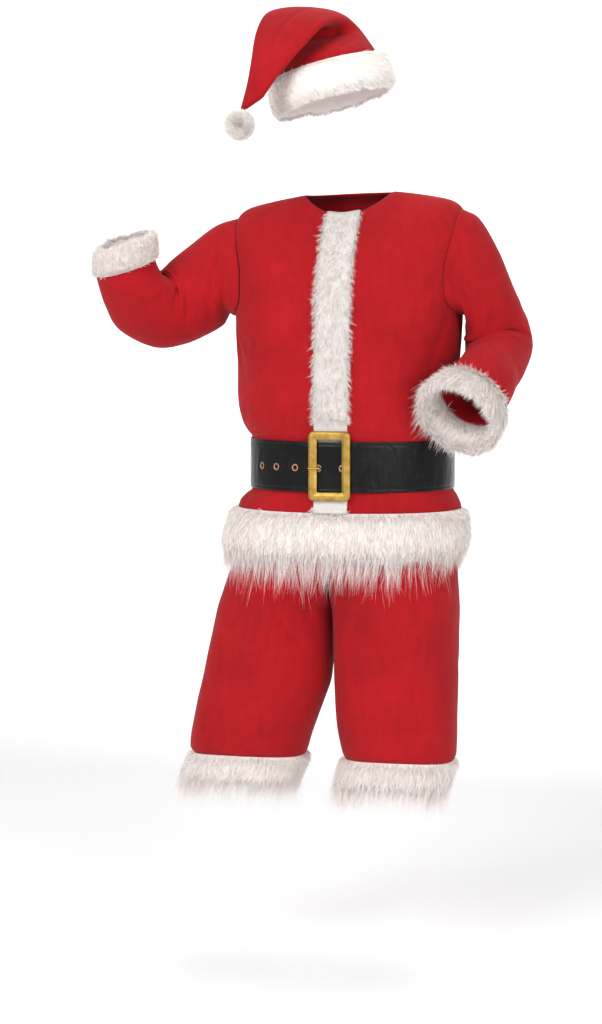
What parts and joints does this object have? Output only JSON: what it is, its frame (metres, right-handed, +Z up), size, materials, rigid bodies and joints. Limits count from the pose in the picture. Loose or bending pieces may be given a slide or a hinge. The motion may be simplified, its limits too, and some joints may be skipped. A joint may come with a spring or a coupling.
{
  "type": "santa suit",
  "caption": "Red plush costume suit in its worn form: jacket, wide belt with buckle, knee-length trousers and a folded-over stocking hat, all edged with white fur.",
  "frame": {"origin": "centre of the base of the neck, where the shoulders hold the jacket up", "axes": "+Z up, -Y out of the front, +X towards the wearer's left"},
  "size_m": [0.8315, 0.4121, 1.5758],
  "materials": {
    "red_plush": "short-pile plush",
    "white_fur": "long-pile fur",
    "black_vinyl": "glossy vinyl",
    "antique_brass": "antique plated",
    "eyelet_brass": "plated"
  },
  "bodies": {
    "root": {"jacket_front_right": "red_plush", "jacket_front_left": "red_plush", "jacket_back": "red_plush", "sleeve_right": "red_plush", "sleeve_left": "red_plush", "fur_front_band": "white_fur", "fur_hem": "white_fur", "fur_cuff_right": "white_fur", "fur_cuff_left": "white_fur", "belt_strap": "black_vinyl", "belt_buckle": "antique_brass", "belt_prong": "antique_brass", "belt_eyelet_1": "eyelet_brass", "belt_eyelet_2": "eyelet_brass", "belt_eyelet_3": "eyelet_brass", "belt_eyelet_4": "eyelet_brass", "belt_eyelet_5": "eyelet_brass", "trouser_waistband": "red_plush", "trouser_leg_right": "red_plush", "trouser_leg_left": "red_plush", "fur_leg_right": "white_fur", "fur_leg_left": "white_fur", "hat_crown": "red_plush", "hat_band": "white_fur", "hat_pompom": "white_fur"}
  },
  "joints": []
}
